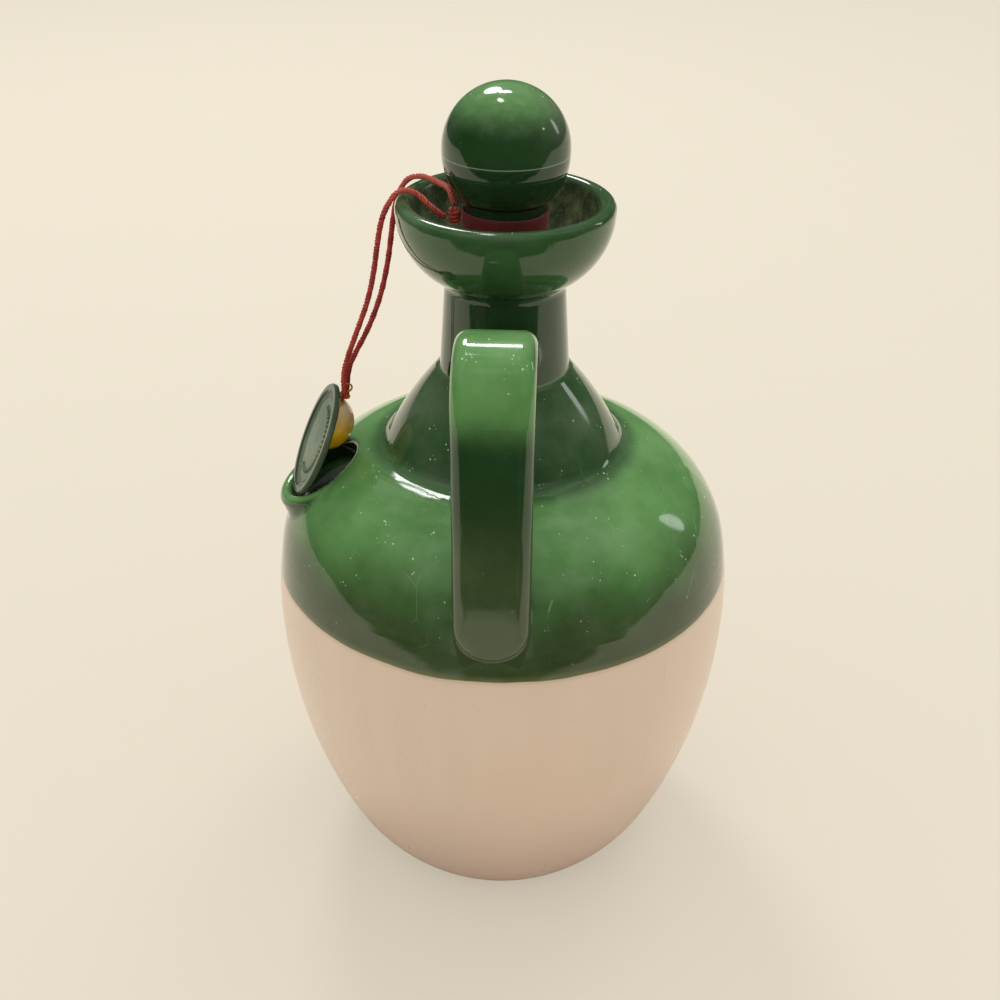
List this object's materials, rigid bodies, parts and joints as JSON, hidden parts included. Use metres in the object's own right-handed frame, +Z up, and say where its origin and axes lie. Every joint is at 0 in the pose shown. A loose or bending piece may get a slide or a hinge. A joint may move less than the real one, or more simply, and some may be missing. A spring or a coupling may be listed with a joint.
{
  "type": "ceramic decanter",
  "caption": "Round-bodied ceramic decanter with a strap handle, funnel mouth, ball stopper and a glazed seal hung on cords; holds and pours a drink.",
  "frame": {"origin": "centre of the foot, on the face the decanter stands on", "axes": "+Z up along the body's axis; the handle is on the -Y side and the seal's seat on the -X side"},
  "size_m": [0.115, 0.115, 0.2024],
  "materials": {
    "jug": "glossy green glaze over the upper part, satin cream glaze below",
    "stopper": "glossy green glaze",
    "band": "smooth woven ribbon",
    "knot": "twisted yarn",
    "cord": "soft twisted cord",
    "seal": "glossy green glaze",
    "glue": "clear set glue, amber"
  },
  "bodies": {
    "root": {"jug": "jug", "stopper": "stopper", "band": "band", "knot": "knot", "cord_front": "cord", "cord_back": "cord", "seal": "seal", "glue": "glue"}
  },
  "joints": []
}
